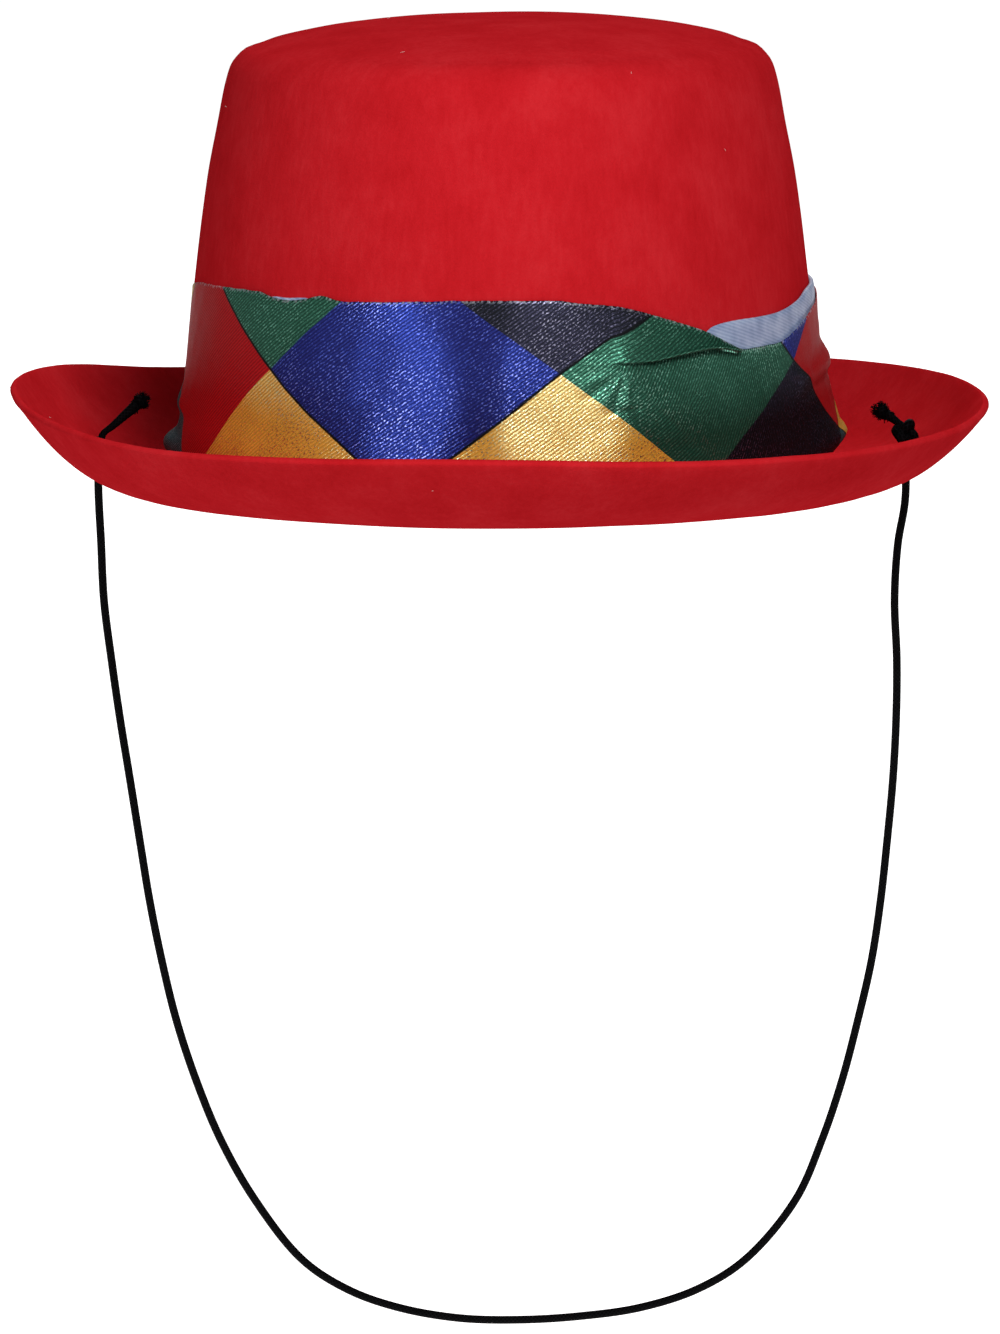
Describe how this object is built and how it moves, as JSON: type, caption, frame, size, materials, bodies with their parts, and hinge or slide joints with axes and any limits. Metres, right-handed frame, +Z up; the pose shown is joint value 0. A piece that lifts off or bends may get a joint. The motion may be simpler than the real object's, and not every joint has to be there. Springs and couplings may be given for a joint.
{
  "type": "clown hat",
  "caption": "Red moulded felt clown hat with a domed flat crown, a turned-up brim, a satin harlequin band and a hanging elastic chin cord.",
  "frame": {"origin": "centre of the head opening, in the plane of the brim's lowest ring of felt, where a head carries the hat", "axes": "+Z up through the crown, +Y to the back of the hat, +X to the right as seen from the front"},
  "size_m": [0.2602, 0.2872, 0.3531],
  "materials": {
    "red_felt": "matt moulded wool felt",
    "harlequin_satin": "printed polyester satin, glossy along its threads",
    "satin_wrong_side": "dull white back of the satin",
    "black_elastic": "braided round elastic"
  },
  "bodies": {
    "root": {"felt_body": "red_felt", "satin_band": "harlequin_satin", "band_turned_hem": "satin_wrong_side", "chin_cord": "black_elastic", "knot_left": "black_elastic", "knot_right": "black_elastic"}
  },
  "joints": []
}
